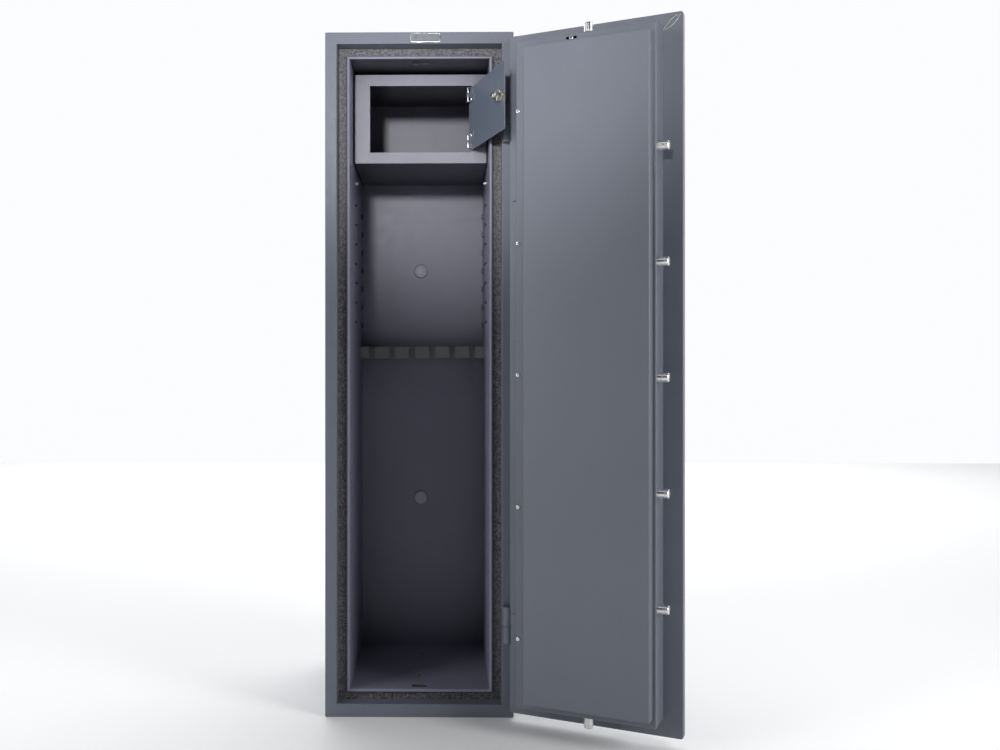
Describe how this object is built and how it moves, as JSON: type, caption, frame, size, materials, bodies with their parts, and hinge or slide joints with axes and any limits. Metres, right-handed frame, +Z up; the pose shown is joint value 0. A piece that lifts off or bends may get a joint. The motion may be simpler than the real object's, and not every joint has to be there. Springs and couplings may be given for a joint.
{
  "type": "gun safe",
  "caption": "Tall steel gun safe with a thick hinged door on round sliding bolts, a notched barrel rack and a small lockable inner compartment.",
  "frame": {"origin": "middle of the cabinet's footprint, on the floor", "axes": "+Z up, -Y out of the front of the safe, +X to the hinge side; the door is stored open"},
  "size_m": [0.8145, 0.7153, 1.635],
  "materials": {
    "frame_paint": "satin powder paint, graphite grey",
    "textured_paint": "coarse hammered paint, dark grey",
    "liner_paint": "satin powder paint, grey",
    "rack_paint": "satin powder paint, grey",
    "treasury_paint": "fine textured powder paint, light grey",
    "door_paint": "satin powder paint, graphite grey",
    "treasury_door_paint": "smooth satin paint, blue grey",
    "badge_metal": "brushed blank plate",
    "fill": "cast concrete-like fill",
    "plain_steel": "bare steel",
    "bolt_chrome": "polished plating",
    "screw_zinc": "bright plating",
    "lock_brass": "polished brass",
    "handle_metal": "satin black",
    "cap_plastic": "moulded cap"
  },
  "bodies": {
    "cabinet": {"outer_shell": "frame_paint", "rear_panel": "frame_paint", "front_frame": "frame_paint", "rebate_ring": "textured_paint", "mouth_lip": "liner_paint", "inner_liner": "liner_paint", "fill_left": "fill", "fill_right": "fill", "fill_top": "fill", "fill_bottom": "fill", "fill_rear": "fill", "bolt_keepers": "plain_steel", "barrel_rack": "rack_paint", "rack_screws": "screw_zinc", "anchor_caps": "cap_plastic", "hole_plugs": "cap_plastic", "badge_plate": "badge_metal", "treasury_shell": "treasury_paint", "treasury_front": "treasury_paint", "treasury_fixings": "screw_zinc", "treasury_hinge_brackets": "treasury_door_paint", "treasury_hinge_pins": "screw_zinc", "hinge_knuckles_lower": "frame_paint", "hinge_pins": "plain_steel", "hinge_washers": "plain_steel"},
    "door": {"door_plate": "door_paint", "door_border": "door_paint", "door_fill": "fill", "bolt_housing": "door_paint", "inner_cover": "door_paint", "cover_screws": "screw_zinc", "hinge_knuckles_upper": "door_paint", "hinge_side_strips": "door_paint", "mechanism_plate": "plain_steel", "lock_case": "plain_steel", "lock_levers": "plain_steel", "lock_escutcheon": "handle_metal", "handle_rosette": "handle_metal", "bolt_guide_rail": "plain_steel", "rod_guides": "plain_steel"},
    "bolt_carrier": {"carrier_strip": "plain_steel", "side_bolts": "bolt_chrome", "bolt_screws": "screw_zinc"},
    "top_rod": {"top_bolt": "bolt_chrome", "top_rod_bar": "plain_steel"},
    "bottom_rod": {"bottom_bolt": "bolt_chrome", "bottom_rod_bar": "plain_steel"},
    "handle": {"handle_lever": "handle_metal", "handle_spindle": "plain_steel", "cam_disc": "plain_steel", "cam_pins": "plain_steel"},
    "keyhole_cover": {"keyhole_cover": "handle_metal"},
    "lock_bolt": {"lock_bolt": "plain_steel"},
    "treasury_door": {"treasury_door_plate": "treasury_door_paint", "treasury_hinge_leaves": "treasury_door_paint", "treasury_hinge_rivets": "screw_zinc", "treasury_lock_body": "lock_brass", "treasury_lock_nut": "screw_zinc"},
    "treasury_cam": {"treasury_cam": "screw_zinc", "treasury_cam_screw": "screw_zinc"}
  },
  "joints": [
    {"name": "door_hinge", "type": "hinge", "parent": "cabinet", "child": "door", "pos_m": [0.2105, -0.24, 0.8], "axis": [0, 0, 1], "range_deg": [-155.6, 6.4]},
    {"name": "handle_turn", "type": "hinge", "parent": "door", "child": "handle", "pos_m": [0.46055, -0.33147, 0.83], "axis": [0.4131, 0.9107, 0], "range_deg": [-90, 0]},
    {"name": "side_bolts_slide", "type": "slide", "parent": "door", "child": "bolt_carrier", "axis": [0.9107, -0.4131, 0], "range_m": [-0.0241, 0.0001]},
    {"name": "top_bolt_slide", "type": "slide", "parent": "door", "child": "top_rod", "axis": [0, 0, 1], "range_m": [-0.0241, 0.0001]},
    {"name": "bottom_bolt_slide", "type": "slide", "parent": "door", "child": "bottom_rod", "axis": [0, 0, -1], "range_m": [-0.0241, 0.0001]},
    {"name": "keyhole_cover_pivot", "type": "hinge", "parent": "door", "child": "keyhole_cover", "pos_m": [0.45807, -0.33693, 0.716], "axis": [0.4131, 0.9107, 0], "range_deg": [-100, 100]},
    {"name": "lock_bolt_slide", "type": "slide", "parent": "door", "child": "lock_bolt", "axis": [0, 0, 1], "range_m": [0, 0.012]},
    {"name": "treasury_hinge", "type": "hinge", "parent": "cabinet", "child": "treasury_door", "pos_m": [0.12, -0.106, 1.456], "axis": [0, 0, 1], "range_deg": [-107.5, 4.5]},
    {"name": "treasury_cam_turn", "type": "hinge", "parent": "treasury_door", "child": "treasury_cam", "pos_m": [0.17279, -0.31791, 1.4595], "axis": [0.9542, 0.299, 0], "range_deg": [0, 90]}
  ],
  "couplings": [
    {"joint": "side_bolts_slide", "follows": "handle_turn", "m_per_rad": 0.015279},
    {"joint": "top_bolt_slide", "follows": "handle_turn", "m_per_rad": 0.015279},
    {"joint": "bottom_bolt_slide", "follows": "handle_turn", "m_per_rad": 0.015279},
    {"joint": "treasury_hinge", "follows": "door_hinge", "ratio": 0.69023}
  ]
}
